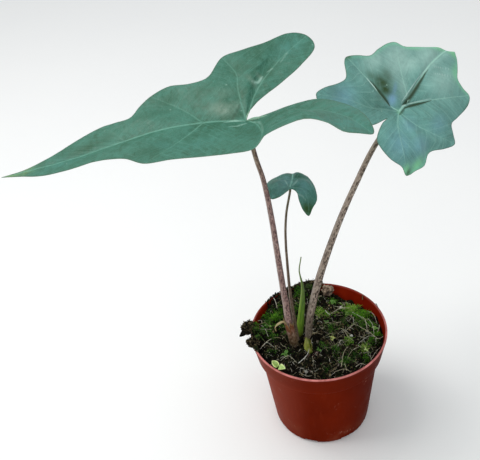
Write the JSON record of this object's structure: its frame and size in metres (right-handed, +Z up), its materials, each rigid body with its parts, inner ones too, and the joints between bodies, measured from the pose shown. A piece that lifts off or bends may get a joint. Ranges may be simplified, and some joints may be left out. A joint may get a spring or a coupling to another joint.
{
  "type": "potted foliage plant",
  "caption": "Young batwing alocasia with arrow-shaped leaves on mottled stalks, growing in peat in a round plastic nursery pot.",
  "frame": {"origin": "centre of the pot's underside, on the surface that the pot stands on", "axes": "+Z up along the pot's axis; +X to the right and -Y towards the viewer, as the picture shows the plant"},
  "size_m": [0.3556, 0.1956, 0.3631],
  "materials": {
    "pot_plastic": "satin, moulded",
    "peat": "matte, crumbly",
    "corm": "fibrous",
    "petiole": "smooth, mottled",
    "new_leaf": "smooth",
    "blade_green": "satin, waxy",
    "blade_blue_green": "satin, waxy",
    "blade_young": "satin, waxy",
    "dry_sheath": "papery",
    "bark": "rough",
    "perlite": "matte, grainy",
    "seedling": "smooth"
  },
  "bodies": {
    "root": {"pot": "pot_plastic", "soil": "peat", "corm": "corm", "petiole_left": "petiole", "petiole_right": "petiole", "petiole_small": "petiole", "new_leaf": "new_leaf", "side_bud": "new_leaf", "blade_left": "blade_green", "blade_right": "blade_blue_green", "blade_small": "blade_young", "rim_clod_upper": "peat", "rim_clod_lower": "peat", "rim_clod_back": "peat", "dry_sheath": "dry_sheath", "bark_chip": "bark", "perlite_1": "perlite", "perlite_2": "perlite", "perlite_3": "perlite", "seedling": "seedling"}
  },
  "joints": []
}
